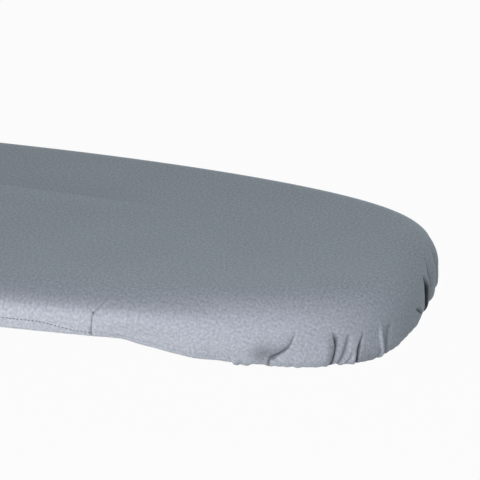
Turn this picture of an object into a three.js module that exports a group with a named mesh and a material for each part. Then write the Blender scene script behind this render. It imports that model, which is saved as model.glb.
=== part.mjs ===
// Elastic-hem ironing board cover in its fitted shape: a coated cotton cover over a foam pad and a felt,
// with a bound elastic hem and three hook-and-loop straps that close across its underside.
// Millimetres. +X runs to the nose, -Y is the near side, +Z is up.
// The origin is the middle of the felt's underside, on which the fitted cover lies.

import * as THREE from 'three';

// Outline of the fitted cover, seen from above
const COVER_LENGTH = 1240;
const COVER_WIDTH = 450;
const NOSE_LENGTH = 550;
const NOSE_FULLNESS = 3.73;
const TAIL_LENGTH = 240;
const TAIL_FULLNESS = 4.6;
const OUTLINE_STEPS = 4000;

// Layers from the top down, and the gap that stitched pieces keep
const CLOTH = 1.2;
const FOAM = 5;
const FELT = 3;
const SEWN_GAP = 0.3;

// Section of the skirt, on the middle of the cloth
const COVER_DEPTH = 75;
const ROLL_RADIUS = 42;
const ROLL_STEPS = 3;
const TUCK_RADIUS = 14;
const TUCK_REACH = 38;
const RIDE_DROP = 5;
const RING_STEP = 4;

// The hem is tucked under round the nose and along the straight sides and the tail.
// Behind the nose it turns out from below and climbs the side to its highest place.
const NOSE_HOLD = 190;
const NOSE_TURN = 100;
const CLIMB_START = 280;
const CLIMB_LENGTH = 140;
const CLIMB_HEIGHT = 21.5;
const CLIMB_STEPS = 3;
const BACK_TURN = 110;
const TURN_SHARES = [0, 0.2, 0.3, 0.4, 0.5, 0.6, 1];
const COLUMN_STEP = 9;
const COLUMN_SAG = 0.8;

// Gathers that the elastic draws into the skirt, by their distance along the outline
const NEAR_GATHERS = [8, 36, 97, 140, 172, 226];
const FAR_GATHERS = [24, 60, 100, 145, 195];
const NOSE_GATHER_DEPTH = 6;
const TAIL_GATHER_COUNT = 4;
const TAIL_GATHER_PITCH = 46;
const TAIL_GATHER_START = 70;
const TAIL_GATHER_DEPTH = 5;
const GATHER_RISE = 36;

// Hem: bound in four lengths, with an elastic in the two that go round the nose and the tail
const BINDING = 0.8;
const BINDING_LAP = 7;
const ELASTIC_WIDTH = 6;
const ELASTIC_THICKNESS = 1.2;

// Pads
const PAD_EDGE = 1.6;
const PAD_EASE = 1;
const PAD_COLUMNS = 72;

// Straps
const STRAP_WIDTH = 36;
const STRAP_THICKNESS = 1.4;
const STRAP_OVERLAP = 60;
const STRAP_INSET = 30;
const STRAP_CORNER = 9;
const PATCH_MARGIN = 3;
const PATCH_CORNER = 4;
const HOOK_THICKNESS = 1.2;
const LOOP_THICKNESS = 1;
const CORNER_STEPS = 4;

// Levels and lengths that follow from the sizes above
const foamBottom = FELT + SEWN_GAP;
const foamTop = foamBottom + FOAM;
const clothMiddle = foamTop + SEWN_GAP + CLOTH / 2;
const lipLevel = clothMiddle - COVER_DEPTH + CLOTH;
const rollInset = CLOTH / 2 + ROLL_RADIUS;
const rollLength = ROLL_RADIUS * Math.PI / 2;
const sideLength = COVER_DEPTH - CLOTH - ROLL_RADIUS - TUCK_RADIUS;
const tuckLength = TUCK_RADIUS * Math.PI / 2;
const tuckedReach = rollLength + sideLength + tuckLength + TUCK_REACH;
const tunnel = ELASTIC_WIDTH + 2 * SEWN_GAP;
const riddenReach = rollLength + RIDE_DROP - tunnel - BINDING;
const tunnelHalf = Math.max(CLOTH, ELASTIC_THICKNESS) / 2 + SEWN_GAP;
const hemInset = CLOTH / 2 + TUCK_RADIUS + TUCK_REACH + tunnel + BINDING;

const finishes = {
  cotton: { color: 0x8f9497, roughness: 0.62, metalness: 0.25 },
  foam: { color: 0xe8e4d6, roughness: 0.95, metalness: 0 },
  felt: { color: 0xd9d7d2, roughness: 1, metalness: 0 },
  binding: { color: 0x8a8f93, roughness: 0.7, metalness: 0.15 },
  elastic: { color: 0xf0f0ee, roughness: 0.8, metalness: 0 },
  webbing: { color: 0xc9ccce, roughness: 0.85, metalness: 0 },
  hook: { color: 0x6d7174, roughness: 0.6, metalness: 0 },
  loop: { color: 0x7d8184, roughness: 1, metalness: 0 },
};

const cover = new THREE.Group();

function addMesh(parent, name, geometry, finish) {
  const mesh = new THREE.Mesh(geometry, new THREE.MeshStandardMaterial(finishes[finish]));
  mesh.name = name;
  parent.add(mesh);
  return mesh;
}

// Outline

// One rounded end, from its middle (share 0) to the straight side (share 1)
function endPoint(share, length, fullness) {
  const angle = (Math.PI / 2) * share ** (fullness / 2);
  return {
    back: length * (1 - Math.cos(angle)),
    out: (COVER_WIDTH / 2) * Math.sin(angle) ** (2 / fullness),
  };
}

const straightStart = COVER_LENGTH / 2 - NOSE_LENGTH;
const straightEnd = TAIL_LENGTH - COVER_LENGTH / 2;

// Shares of the curve parameter at which the nose and the straight side end
const noseUntil = 0.5;
const sideUntil = 0.75;

// The near half of the outline, from the tip of the nose to the middle of the tail
class HalfOutline extends THREE.Curve {
  getPoint(t, target = new THREE.Vector3()) {
    if (t < noseUntil) {
      const nose = endPoint(t / noseUntil, NOSE_LENGTH, NOSE_FULLNESS);
      return target.set(COVER_LENGTH / 2 - nose.back, -nose.out, 0);
    }
    if (t < sideUntil) {
      const share = (t - noseUntil) / (sideUntil - noseUntil);
      const straight = THREE.MathUtils.lerp(straightStart, straightEnd, share);
      return target.set(straight, -COVER_WIDTH / 2, 0);
    }
    const tail = endPoint((1 - t) / (1 - sideUntil), TAIL_LENGTH, TAIL_FULLNESS);
    return target.set(tail.back - COVER_LENGTH / 2, -tail.out, 0);
  }
}

const outline = new HalfOutline();
outline.arcLengthDivisions = OUTLINE_STEPS;
const halfLength = outline.getLength();
const noseArc = outline.getLengths()[OUTLINE_STEPS * noseUntil];

// A place on the outline: s is measured from the tip of the nose, negative on the far side
function station(s) {
  const side = s < 0 ? -1 : 1;
  const share = Math.min(Math.abs(s) / halfLength, 1);
  const point = outline.getPointAt(share);
  const along = outline.getTangentAt(share);
  return { x: point.x, y: side * point.y, outX: -along.y, outY: side * along.x };
}

// The point that stands o outside the outline at a station, at the level z
function pointAt(at, o, z) {
  return [at.x + at.outX * o, at.y + at.outY * o, z];
}

// Hem line

// Length of cloth from the start of the roll to the cut edge
function hemReach(s) {
  const distance = Math.abs(s);
  const turned = THREE.MathUtils.smoothstep(distance, NOSE_HOLD, NOSE_HOLD + NOSE_TURN);
  const climbed = THREE.MathUtils.smoothstep(distance, CLIMB_START, CLIMB_START + CLIMB_LENGTH);
  const back = THREE.MathUtils.smoothstep(distance, noseArc - BACK_TURN, noseArc);
  const front = THREE.MathUtils.lerp(tuckedReach, riddenReach + CLIMB_HEIGHT, turned);
  const rear = THREE.MathUtils.lerp(riddenReach, tuckedReach, back);
  return Math.max(front - CLIMB_HEIGHT * climbed, rear);
}

// The seams where the lengths of the hem meet: the end of the climb behind the nose
// and the end of the straight side, on both sides
const noseSeam = CLIMB_START + CLIMB_LENGTH;
const tailSeam = noseArc + straightStart - straightEnd;

// Columns of the skirt

function betweenFolds(folds) {
  return folds.slice(1).map((fold, i) => ({ s: (fold.s + folds[i].s) / 2, depth: 0 }));
}

function tailFolds() {
  return Array.from({ length: TAIL_GATHER_COUNT }, (_, i) => ({
    s: halfLength - TAIL_GATHER_START - i * TAIL_GATHER_PITCH,
    depth: TAIL_GATHER_DEPTH,
  }));
}

// Columns of one turn of the hem, closer where it goes from the side to below
function turnColumns(side, below) {
  return TURN_SHARES.map((share) => ({ s: THREE.MathUtils.lerp(side, below, share), depth: 0 }));
}

function climbColumns() {
  return Array.from({ length: CLIMB_STEPS }, (_, i) => {
    return { s: CLIMB_START + ((i + 1) * CLIMB_LENGTH) / CLIMB_STEPS, depth: 0 };
  });
}

// One half's columns in order along the outline; a smooth column too close to its neighbour is left out
function halfColumns(gathers) {
  const nose = gathers.map((s) => ({ s, depth: NOSE_GATHER_DEPTH }));
  const tail = tailFolds();
  const places = [...nose, ...betweenFolds(nose), ...tail, ...betweenFolds(tail)];
  places.push(...turnColumns(NOSE_HOLD + NOSE_TURN, NOSE_HOLD), ...climbColumns());
  places.push(...turnColumns(noseArc - BACK_TURN, noseArc));
  places.push({ s: tailSeam, depth: 0 });
  places.sort((a, b) => a.s - b.s);
  return splitBends(places.filter((place, i) => {
    return i === 0 || place.depth > 0 || place.s - places[i - 1].s > COLUMN_STEP;
  }));
}

// Height of a shallow arc over its chord, as a share of the arc's length times its turn
const arcHeight = 1 / 8;

// Adds smooth columns wherever a straight facet would leave the outline by more than COLUMN_SAG
function splitBends(places) {
  return places.flatMap((place, i) => {
    if (i === 0) {
      return [place];
    }
    const start = places[i - 1].s;
    const span = place.s - start;
    const [a, b] = [station(start), station(place.s)];
    const turn = Math.acos(Math.min(1, a.outX * b.outX + a.outY * b.outY));
    const parts = Math.ceil(Math.sqrt((arcHeight * span * turn) / COLUMN_SAG)) || 1;
    const added = Array.from({ length: parts - 1 }, (_, k) => {
      return { s: start + ((k + 1) * span) / parts, depth: 0 };
    });
    return [...added, place];
  });
}

// All columns, clockwise seen from above, from the middle of the tail along the far side
const columns = [
  { s: halfLength, depth: 0 },
  ...halfColumns(FAR_GATHERS).map(({ s, depth }) => ({ s: -s, depth })).reverse(),
  ...halfColumns(NEAR_GATHERS),
];

// Section of the skirt

// A point on the middle of the cloth, w along it from the start of the roll, with its outward direction
function sectionPoint(w) {
  if (w < rollLength) {
    const angle = w / ROLL_RADIUS;
    const out = [Math.sin(angle), Math.cos(angle)];
    return { at: [ROLL_RADIUS * (out[0] - 1), clothMiddle + ROLL_RADIUS * (out[1] - 1)], out };
  }
  const down = w - rollLength;
  if (down < sideLength) {
    return { at: [0, clothMiddle - ROLL_RADIUS - down], out: [1, 0] };
  }
  const round = down - sideLength;
  if (round < tuckLength) {
    const angle = round / TUCK_RADIUS;
    const out = [Math.cos(angle), -Math.sin(angle)];
    return { at: [TUCK_RADIUS * (out[0] - 1), lipLevel + TUCK_RADIUS * (out[1] + 1)], out };
  }
  return { at: [tuckLength - TUCK_RADIUS - round, lipLevel], out: [0, -1] };
}

// Places along the cloth where a column has its points, closing up where the hem rides high
function ringPlaces(reach) {
  const places = Array.from({ length: ROLL_STEPS + 1 }, (_, i) => (i * rollLength) / ROLL_STEPS);
  places.push(rollLength + sideLength, rollLength + sideLength + tuckLength, reach - BINDING_LAP, reach);
  for (let i = places.length - 3; i > 0; i -= 1) {
    places[i] = Math.min(places[i], places[i + 1] - RING_STEP);
  }
  return places;
}

function unit(x, y) {
  const length = Math.hypot(x, y);
  return [x / length, y / length];
}

// The middle line of one column's cloth, drawn in at a gather, with the outward direction of each stretch
function columnLine({ s, depth }) {
  const line = ringPlaces(hemReach(s)).map((w) => {
    const { at, out } = sectionPoint(w);
    const drawn = depth * THREE.MathUtils.smoothstep(w, rollLength - GATHER_RISE, rollLength);
    return [at[0] - out[0] * drawn - CLOTH / 2, at[1] - out[1] * drawn];
  });
  const outs = line.slice(1).map((point, i) => unit(line[i][1] - point[1], point[0] - line[i][0]));
  return { line, outs };
}

// The line moved outwards by a distance, mitred at its corners and level at the start of the roll
function offsetLine({ line, outs }, distance) {
  return line.map((point, i) => {
    if (i === 0) {
      return [point[0], point[1] + distance];
    }
    const before = outs[i - 1];
    const after = outs[Math.min(i, outs.length - 1)];
    const middle = unit(before[0] + after[0], before[1] + after[1]);
    const stretch = distance / (middle[0] * before[0] + middle[1] * before[1]);
    return [point[0] + middle[0] * stretch, point[1] + middle[1] * stretch];
  });
}

// Closed solids from rings of points

function solidFrom(positions, faces) {
  const geometry = new THREE.BufferGeometry();
  geometry.setAttribute('position', new THREE.Float32BufferAttribute(positions, 3));
  geometry.setIndex(faces);
  geometry.computeVertexNormals();
  return geometry;
}

// Rings run the same way round; each joins the next, with the crossing diagonal turned where flip says,
// and the first and the last close on a centre point each
function ringSolid(rings, flip, centres) {
  const count = rings[0].length;
  const faces = [];
  for (let r = 0; r < rings.length - 1; r += 1) {
    for (let i = 0; i < count; i += 1) {
      const j = (i + 1) % count;
      const [a, b, c, d] = [r * count + i, r * count + j, (r + 1) * count + j, (r + 1) * count + i];
      faces.push(...(flip(r) ? [a, b, d, b, c, d] : [a, b, c, a, c, d]));
    }
  }
  const firstCentre = rings.length * count;
  const last = (rings.length - 1) * count;
  for (let i = 0; i < count; i += 1) {
    const j = (i + 1) % count;
    faces.push(firstCentre, j, i, firstCentre + 1, last + i, last + j);
  }
  return solidFrom([...rings.flat(2), ...centres.flat()], faces);
}

// Turns one list of section points for each column into rings
function toRings(stations, sections) {
  return sections[0].map((_, k) => sections.map((section, i) => pointAt(stations[i], ...section[k])));
}

const stations = columns.map(({ s }) => station(s));
const lines = columns.map(columnLine);

// Cover shell: the coated cotton, over the top, down the skirt and back along its inside
function coverShell() {
  const outer = toRings(stations, lines.map((line) => offsetLine(line, CLOTH / 2)));
  const inner = toRings(stations, lines.map((line) => offsetLine(line, -CLOTH / 2)));
  const rings = [...outer, ...inner.reverse()];
  const centres = [[0, 0, clothMiddle + CLOTH / 2], [0, 0, clothMiddle - CLOTH / 2]];
  return ringSolid(rings, (r) => r >= outer.length, centres);
}

// The columns from one seam on to another, clockwise
function columnsBetween(from, to) {
  const nearest = (s) => columns.findIndex((column) => Math.abs(column.s - s) < SEWN_GAP);
  const span = (nearest(to) - nearest(from) + columns.length) % columns.length;
  return Array.from({ length: span + 1 }, (_, i) => (nearest(from) + i) % columns.length);
}

// A section at a column of the hem: each corner is given by its distance past the cloth's cut edge
// and its height over the middle of the cloth
function hemSection(corners, column) {
  const { line, outs } = lines[column];
  const edge = line[line.length - 1];
  const out = outs[outs.length - 1];
  const past = [out[1], -out[0]];
  return corners.map(([t, n]) => {
    return pointAt(stations[column], edge[0] + past[0] * t + out[0] * n, edge[1] + past[1] * t + out[1] * n);
  });
}

// The section moved from one column towards the next by a distance
function shifted(section, next, distance) {
  return section.map((point, i) => {
    const start = new THREE.Vector3(...point);
    const toNext = new THREE.Vector3(...next[i]).sub(start);
    return start.addScaledVector(toNext.normalize(), distance).toArray();
  });
}

// A closed solid along the hem from seam to seam, each end drawn back from the seam.
// The corners go out along one face and back along the other, so that the ends close in quads.
function hemSolid(corners, from, to) {
  const sections = columnsBetween(from, to).map((column) => hemSection(corners, column));
  const last = sections.length - 1;
  const ends = [
    shifted(sections[0], sections[1], SEWN_GAP / 2),
    shifted(sections[last], sections[last - 1], SEWN_GAP / 2),
  ];
  sections.splice(0, 1, ends[0]);
  sections.splice(last, 1, ends[1]);
  const count = corners.length;
  const faces = [];
  for (let i = 0; i < last; i += 1) {
    for (let k = 0; k < count; k += 1) {
      const j = (k + 1) % count;
      const [a, b, c, d] = [i * count + k, (i + 1) * count + k, (i + 1) * count + j, i * count + j];
      faces.push(...(runsBack(corners[k], corners[j]) ? [a, b, d, b, c, d] : [a, b, c, a, c, d]));
    }
  }
  for (let k = 0; k < count / 2 - 1; k += 1) {
    const [a, b, c, d] = [k, k + 1, count - 2 - k, count - 1 - k];
    const end = last * count;
    faces.push(a, b, c, a, c, d, end + a, end + c, end + b, end + a, end + d, end + c);
  }
  return solidFrom(sections.flat(2), faces);
}

function runsBack([t, n], [nextT, nextN]) {
  return nextT < t || (nextT === t && nextN > n);
}

// Hem binding: a strip folded over the cut edge, with a tunnel for the elastic beyond it
function hemBinding(from, to) {
  const outside = tunnelHalf + BINDING;
  const corners = [
    [-BINDING_LAP, outside],
    [0, outside],
    [tunnel + BINDING, outside],
    [tunnel + BINDING, -outside],
    [0, -outside],
    [-BINDING_LAP, -outside],
    [-BINDING_LAP, -tunnelHalf],
    [0, -tunnelHalf],
    [tunnel, -tunnelHalf],
    [tunnel, tunnelHalf],
    [0, tunnelHalf],
    [-BINDING_LAP, tunnelHalf],
  ];
  return hemSolid(corners, from, to);
}

// Hem elastic: a flat band that lies in the tunnel from seam to seam
function hemElastic(from, to) {
  const half = ELASTIC_THICKNESS / 2;
  const start = SEWN_GAP;
  const end = start + ELASTIC_WIDTH;
  return hemSolid([[start, half], [end, half], [end, -half], [start, -half]], from, to);
}

// Pads: both end where the foam, thinned to its edge under the roll of the cloth, runs out
const rollSlope = Math.tan(Math.PI / (4 * ROLL_STEPS));
const padInset = rollInset + PAD_EASE - (FOAM - PAD_EDGE) / rollSlope;
const padStations = Array.from({ length: PAD_COLUMNS }, (_, i) => {
  return station(halfLength * ((2 * i) / PAD_COLUMNS - 1));
});

function padSolid(section) {
  const rings = toRings(padStations, padStations.map(() => section));
  const centres = [[0, 0, section[0][1]], [0, 0, section[section.length - 1][1]]];
  return ringSolid(rings, () => false, centres);
}

function foamPad() {
  return padSolid([
    [-rollInset - PAD_EASE, foamTop],
    [-padInset, foamBottom + PAD_EDGE],
    [-padInset, foamBottom],
  ]);
}

function feltUnderlay() {
  return padSolid([[-padInset, FELT], [-padInset, 0]]);
}

// Straps

// A flat plate with its middle on the x axis, from y = start to y = end, rounded at the corners given
function plate(width, start, end, startCorner, endCorner, thickness) {
  const half = width / 2;
  const shape = new THREE.Shape();
  shape.moveTo(-half + startCorner, start);
  shape.lineTo(half - startCorner, start);
  roundCorner(shape, half - startCorner, start + startCorner, startCorner, -Math.PI / 2);
  shape.lineTo(half, end - endCorner);
  roundCorner(shape, half - endCorner, end - endCorner, endCorner, 0);
  shape.lineTo(-half + endCorner, end);
  roundCorner(shape, -half + endCorner, end - endCorner, endCorner, Math.PI / 2);
  shape.lineTo(-half, start + startCorner);
  roundCorner(shape, -half + startCorner, start + startCorner, startCorner, Math.PI);
  const options = { depth: thickness, bevelEnabled: false, curveSegments: CORNER_STEPS };
  return new THREE.ExtrudeGeometry(shape, options);
}

function roundCorner(shape, x, y, radius, from) {
  if (radius > 0) {
    shape.absarc(x, y, radius, from, from + Math.PI / 2, false);
  }
}

// One strap: two halves sewn to the two hems, lapped in the middle with the hook patch below the loop patch.
// The lapped halves lie in parallel planes, tilted so that each meets the middle of its own hem.
function addStrap(name, x) {
  const sewnEnd = COVER_WIDTH / 2 - hemInset - SEWN_GAP;
  const freeEnd = STRAP_OVERLAP / 2;
  const hookBottom = STRAP_THICKNESS + SEWN_GAP;
  const loopBottom = hookBottom + HOOK_THICKNESS + SEWN_GAP;
  const farBottom = loopBottom + LOOP_THICKNESS + SEWN_GAP;
  const lapHeight = farBottom / 2;
  const nearBottom = -lapHeight - STRAP_THICKNESS / 2;
  const patchHalf = freeEnd - PATCH_MARGIN;
  const patchWidth = STRAP_WIDTH - 2 * PATCH_MARGIN;

  const strap = new THREE.Group();
  strap.position.set(x, 0, lipLevel);
  strap.rotation.x = -Math.atan(lapHeight / sewnEnd);
  cover.add(strap);

  const near = plate(STRAP_WIDTH, -sewnEnd, freeEnd, 0, STRAP_CORNER, STRAP_THICKNESS);
  const hook = patchPlate(patchWidth, patchHalf, HOOK_THICKNESS);
  const loop = patchPlate(patchWidth, patchHalf, LOOP_THICKNESS);
  const far = plate(STRAP_WIDTH, -freeEnd, sewnEnd, STRAP_CORNER, 0, STRAP_THICKNESS);

  addMesh(strap, `${name}_strap_near`, near, 'webbing').position.z = nearBottom;
  addMesh(strap, `${name}_hook_patch`, hook, 'hook').position.z = nearBottom + hookBottom;
  addMesh(strap, `${name}_loop_patch`, loop, 'loop').position.z = nearBottom + loopBottom;
  addMesh(strap, `${name}_strap_far`, far, 'webbing').position.z = nearBottom + farBottom;
}

function patchPlate(width, half, thickness) {
  return plate(width, -half, half, PATCH_CORNER, PATCH_CORNER, thickness);
}

// Assembly

addMesh(cover, 'cover_shell', coverShell(), 'cotton');
addMesh(cover, 'foam_pad', foamPad(), 'foam');
addMesh(cover, 'felt_underlay', feltUnderlay(), 'felt');
addMesh(cover, 'nose_binding', hemBinding(-noseSeam, noseSeam), 'binding');
addMesh(cover, 'near_side_binding', hemBinding(noseSeam, tailSeam), 'binding');
addMesh(cover, 'tail_binding', hemBinding(tailSeam, -tailSeam), 'binding');
addMesh(cover, 'far_side_binding', hemBinding(-tailSeam, -noseSeam), 'binding');
addMesh(cover, 'nose_elastic', hemElastic(-noseSeam, noseSeam), 'elastic');
addMesh(cover, 'tail_elastic', hemElastic(tailSeam, -tailSeam), 'elastic');
addStrap('front', straightStart - STRAP_INSET);
addStrap('middle', (straightStart + straightEnd) / 2);
addStrap('rear', straightEnd + STRAP_INSET);

export default cover;
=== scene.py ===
import math

import bpy
import numpy as np
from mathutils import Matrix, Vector


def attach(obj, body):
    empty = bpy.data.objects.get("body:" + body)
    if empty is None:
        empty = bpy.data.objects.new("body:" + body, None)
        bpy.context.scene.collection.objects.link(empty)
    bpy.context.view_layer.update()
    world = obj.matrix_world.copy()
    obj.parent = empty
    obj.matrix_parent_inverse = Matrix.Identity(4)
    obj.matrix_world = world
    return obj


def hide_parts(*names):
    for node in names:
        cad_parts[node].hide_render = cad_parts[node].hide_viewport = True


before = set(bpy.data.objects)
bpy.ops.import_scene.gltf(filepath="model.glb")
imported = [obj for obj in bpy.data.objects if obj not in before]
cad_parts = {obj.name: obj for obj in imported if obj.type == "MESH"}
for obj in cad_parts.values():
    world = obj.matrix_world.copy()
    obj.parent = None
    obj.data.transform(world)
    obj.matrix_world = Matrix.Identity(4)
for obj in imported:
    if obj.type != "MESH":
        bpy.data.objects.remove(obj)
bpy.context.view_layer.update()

# Sizes of the cover, in millimetres, as the CAD part has them
COVER_LENGTH, COVER_WIDTH = 1240.0, 450.0
NOSE_LENGTH, NOSE_FULLNESS = 550.0, 3.73
TAIL_LENGTH, TAIL_FULLNESS = 240.0, 4.6
CLOTH, FOAM, FELT, SEWN_GAP = 1.2, 5.0, 3.0, 0.3
COVER_DEPTH, ROLL_RADIUS, TUCK_RADIUS, TUCK_REACH, RIDE_DROP = 75.0, 42.0, 14.0, 38.0, 5.0
NOSE_HOLD, NOSE_TURN = 190.0, 100.0
CLIMB_START, CLIMB_LENGTH, CLIMB_HEIGHT, BACK_TURN = 280.0, 140.0, 21.5, 110.0
FAR_GATHERS = [24.0, 60.0, 100.0, 145.0, 195.0]
TAIL_GATHER_COUNT, TAIL_GATHER_PITCH, TAIL_GATHER_START = 4, 46.0, 70.0
NOSE_GATHER_DEPTH, TAIL_GATHER_DEPTH, GATHER_RISE = 6.0, 5.0, 36.0
BINDING, BINDING_LAP, ELASTIC_WIDTH, ELASTIC_THICKNESS = 0.8, 7.0, 6.0, 1.2
PAD_EDGE, PAD_EASE, ROLL_STEPS = 1.6, 1.0, 3
STRAP_WIDTH, STRAP_THICKNESS, STRAP_OVERLAP, STRAP_INSET, STRAP_CORNER = 36.0, 1.4, 60.0, 30.0, 9.0
PATCH_MARGIN, PATCH_CORNER, HOOK_THICKNESS, LOOP_THICKNESS = 3.0, 4.0, 1.2, 1.0

MM = 0.001
FOAM_BOTTOM = FELT + SEWN_GAP
FOAM_TOP = FOAM_BOTTOM + FOAM
CLOTH_MIDDLE = FOAM_TOP + SEWN_GAP + CLOTH / 2
LIP = CLOTH_MIDDLE - COVER_DEPTH + CLOTH
ROLL = ROLL_RADIUS * math.pi / 2
SIDE = COVER_DEPTH - CLOTH - ROLL_RADIUS - TUCK_RADIUS
TUCK = TUCK_RADIUS * math.pi / 2
TUNNEL = ELASTIC_WIDTH + 2 * SEWN_GAP
TUNNEL_HALF = max(CLOTH, ELASTIC_THICKNESS) / 2 + SEWN_GAP
TUCKED = ROLL + SIDE + TUCK + TUCK_REACH
RIDDEN = ROLL + RIDE_DROP - TUNNEL - BINDING
HEM_INSET = CLOTH / 2 + TUCK_RADIUS + TUCK_REACH + TUNNEL + BINDING
STRAIGHT_START = COVER_LENGTH / 2 - NOSE_LENGTH
STRAIGHT_END = TAIL_LENGTH - COVER_LENGTH / 2


def smooth(x, start, end):
    """A soft step from 0 at start to 1 at end."""
    k = np.clip((x - start) / (end - start), 0, 1)
    return k * k * (3 - 2 * k)


def between(x, rise, fall):
    """1 between two soft steps, each given by its start and end, and 0 outside them."""
    return smooth(x, *rise) * (1 - smooth(x, *fall))


def bell(x, width):
    return np.exp(-(x / width) ** 2)


def unit(vectors):
    return vectors / np.maximum(np.linalg.norm(vectors, axis=-1, keepdims=True), 1e-9)


def running_length(points):
    """How far along a line each of its points lies."""
    return np.concatenate([[0], np.cumsum(np.linalg.norm(np.diff(points, axis=0), axis=1))])


# Outline of the cover

OUTLINE_STEPS = 6000


def end_curve(share, length, fullness):
    """Distance from the tip and half the width along a rounded end, from its tip to its full width."""
    angle = (math.pi / 2) * share ** (fullness / 2)
    return length * (1 - np.cos(angle)), COVER_WIDTH / 2 * np.sin(angle) ** (2 / fullness)


def near_outline():
    """Points along the near half, from the tip of the nose to the middle of the tail."""
    share = np.linspace(0, 1, OUTLINE_STEPS)
    back, out = end_curve(share, NOSE_LENGTH, NOSE_FULLNESS)
    nose = np.stack([COVER_LENGTH / 2 - back, -out], 1)
    straight = np.linspace(STRAIGHT_START, STRAIGHT_END, OUTLINE_STEPS // 2)[1:]
    side = np.stack([straight, np.full(len(straight), -COVER_WIDTH / 2)], 1)
    back, out = end_curve(1 - share, TAIL_LENGTH, TAIL_FULLNESS)
    tail = np.stack([back - COVER_LENGTH / 2, -out], 1)[1:]
    return np.vstack([nose, side, tail])


line = near_outline()
arc = running_length(line)
heading = np.gradient(line, arc, axis=0)
HALF, NOSE_ARC = arc[-1], arc[OUTLINE_STEPS - 1]
NOSE_SEAM = CLIMB_START + CLIMB_LENGTH
TAIL_SEAM = NOSE_ARC + STRAIGHT_START - STRAIGHT_END


def station(s):
    """Place on the outline and its outward direction; s is negative on the far side."""
    q, side = np.abs(s), np.where(s < 0, -1.0, 1.0)
    x, y = np.interp(q, arc, line[:, 0]), np.interp(q, arc, line[:, 1])
    tx, ty = np.interp(q, arc, heading[:, 0]), np.interp(q, arc, heading[:, 1])
    size = np.hypot(tx, ty)
    return x, side * y, -ty / size, side * tx / size


def hem_reach(s):
    """Length of cloth from the start of the roll to the cut edge."""
    q = np.abs(s)
    front = TUCKED + (RIDDEN + CLIMB_HEIGHT - TUCKED) * smooth(q, NOSE_HOLD, NOSE_HOLD + NOSE_TURN)
    front = front - CLIMB_HEIGHT * smooth(q, CLIMB_START, CLIMB_START + CLIMB_LENGTH)
    rear = RIDDEN + (TUCKED - RIDDEN) * smooth(q, NOSE_ARC - BACK_TURN, NOSE_ARC)
    return np.maximum(front, rear)


def section(w):
    """Offset from the outline, height and outward direction of the cloth's middle, w along the section."""
    roll = np.clip(w, 0, ROLL) / ROLL_RADIUS
    down = np.clip(w - ROLL, 0, SIDE)
    turn = np.clip(w - ROLL - SIDE, 0, TUCK) / TUCK_RADIUS
    lip = np.maximum(w - ROLL - SIDE - TUCK, 0)
    inward = np.maximum(-w, 0)
    o = ROLL_RADIUS * (np.sin(roll) - 1) + TUCK_RADIUS * (np.cos(turn) - 1) - lip - inward
    z = CLOTH_MIDDLE + ROLL_RADIUS * (np.cos(roll) - 1) - down - TUCK_RADIUS * np.sin(turn)
    return o - CLOTH / 2, z, np.sin(roll) * np.cos(turn), np.cos(roll) - np.sin(turn)


# Folds of the skirt, drawn on the flat cloth by their distance along the outline and down the section

FOLD_END, FOLD_FADE, CORNER_REACH = 108.0, 22.0, 4.0
GAP_LIP_PLACE, GAP_LIP_WIDTH = 2.6, 1.7
RIM_EDGE, RIM_PLACE, RIM_WIDTH = 0.6, -0.9, 1.6
UNDER_PLACE, UNDER_WIDTH, UNDER_SHARE = 1.1, 1.3, 0.45
LOBE_EASE, LOBE_FULLNESS = 9.0, 0.55


def soft_line(w, path):
    """Place along the outline of a fold's line at w, with its corners rounded off."""
    places, levels = zip(*path)
    steps = (-CORNER_REACH, 0, CORNER_REACH)
    low, middle, high = (np.interp(w + step, levels, places) for step in steps)
    return (low + 2 * middle + high) / 4


def beside(s, w, path, sizes):
    """Distance across a fold's line of (s, w) points, how much the line leans, and the fold's size there."""
    lean = soft_line(w + 0.5, path) - soft_line(w - 0.5, path)
    level = (w - path[0][1]) / (path[-1][1] - path[0][1])
    size = np.interp(level, np.linspace(0, 1, len(sizes)), sizes)
    size = size * (1 - smooth(w, FOLD_END, FOLD_END + FOLD_FADE))
    return (s - soft_line(w, path)) / np.hypot(1, lean), lean, size


def gap(s, w, path, depths, width, lip):
    """A narrow deep crease with raised lips."""
    x, _, depth = beside(s, w, path, depths)
    raised = bell(np.abs(x) - GAP_LIP_PLACE * width, GAP_LIP_WIDTH * width)
    return -depth * bell(x, width) + lip * depth / max(depths) * raised


def ridge(s, w, path, heights, width):
    """A raised line."""
    x, _, height = beside(s, w, path, heights)
    return height * bell(x, width)


def lap(s, w, path, shares, dip, lobe, dip_width, lobe_width, overhang, side):
    """A fold whose rounded rim hangs over the cloth beside it.

    Gives its height, and its slip along the outline and down the section. The dip lies behind the line,
    or in front of it if side is -1."""
    x, lean, size = beside(s, w, path, shares)
    x = side * x
    low = -dip * np.exp(-np.abs(x) / dip_width)
    high = lobe * np.exp(-np.abs(x) / lobe_width)
    height = high + (low - high) * (0.5 + 0.5 * np.tanh(x / RIM_EDGE))
    slip = bell(x - RIM_PLACE, RIM_WIDTH) - UNDER_SHARE * bell(x - UNDER_PLACE, UNDER_WIDTH)
    across = side * overhang * slip * size / np.hypot(1, lean)
    return height * size, across, -across * lean


def gathers(s, w, places, depth):
    """Sharp creases at the places, with round lobes between them."""
    places = np.array(places, float)
    i = np.clip(np.searchsorted(places, s) - 1, 0, len(places) - 2)
    u = np.clip((s - places[i]) / (places[i + 1] - places[i]), 0, 1)
    outside = np.maximum(np.maximum(places[0] - s, s - places[-1]), 0)
    lobe = np.where(outside > 0, 1 - np.exp(-outside / LOBE_EASE), np.sin(math.pi * u) ** LOBE_FULLNESS)
    return depth * (lobe - 1) * smooth(w, ROLL - GATHER_RISE, ROLL)


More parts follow.
